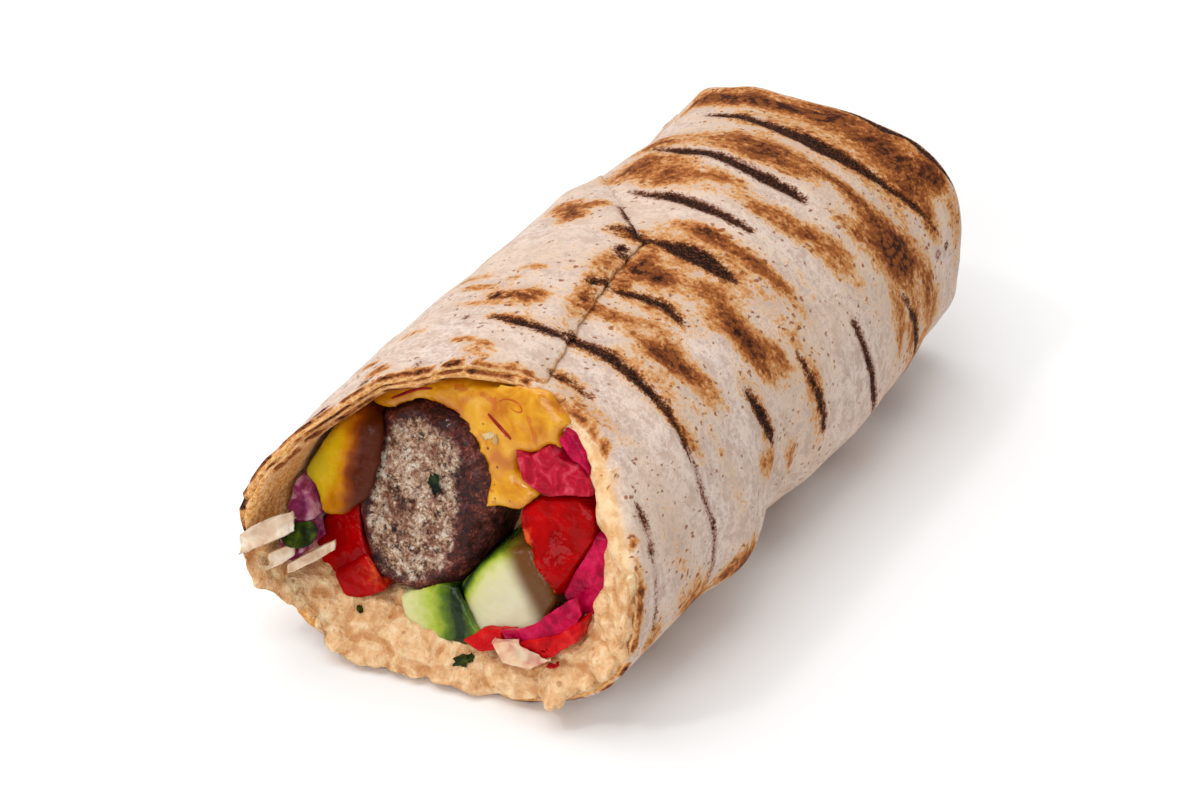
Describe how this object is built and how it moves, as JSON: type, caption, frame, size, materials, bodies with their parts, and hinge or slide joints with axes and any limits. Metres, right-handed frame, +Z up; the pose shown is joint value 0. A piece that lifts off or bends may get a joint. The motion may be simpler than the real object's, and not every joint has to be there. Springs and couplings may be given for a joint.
{
  "type": "kafta wrap",
  "caption": "Grilled flatbread wrap lying on its side, open at one end to show kafta, hummus, yellow sauce and vegetables, and folded shut at the other end.",
  "frame": {"origin": "on the table under the middle of the wrap's bounding box", "axes": "+Z up, Y along the wrap with its open end towards -Y, +X to the right as seen from the open end"},
  "size_m": [0.081, 0.156, 0.0578],
  "materials": {
    "flatbread": "matte floury flatbread, mottled beige with brown toasted patches and dark grill marks",
    "kafta": "coarse grey-brown minced meat on the cut face, dark burgundy-brown skin, slightly moist",
    "hummus": "lumpy tan paste with a soft satin sheen",
    "sauce": "glossy yellow sauce with red and dark specks",
    "tomato": "wet red tomato flesh with small highlights",
    "cucumber": "wet pale green flesh with a dark green rind",
    "pickled": "wet crimson to magenta pickled vegetable",
    "onion": "wet whitish onion, slightly translucent",
    "red_onion": "wet purple onion with paler edges",
    "pepper": "glossy cooked yellow pepper, browned at its end",
    "leaf": "dark green leaf, satin"
  },
  "bodies": {
    "root": {"bread": "flatbread", "kafta": "kafta", "parsley_leaf": "leaf", "cucumber_right": "cucumber", "cucumber_left": "cucumber", "tomato_right": "tomato", "tomato_left": "tomato", "tomato_dice": "tomato", "pickled_curl": "pickled", "pickled_side": "pickled", "pickled_top_a": "pickled", "pickled_top_b": "pickled", "red_bit_left": "pickled", "red_bit_right": "pickled", "pale_onion": "onion", "onion_strip_top": "onion", "onion_strip_middle": "onion", "onion_strip_low": "onion", "red_onion_low": "red_onion", "red_onion_top": "red_onion", "pepper": "pepper", "sauce": "sauce", "hummus": "hummus"}
  },
  "joints": []
}
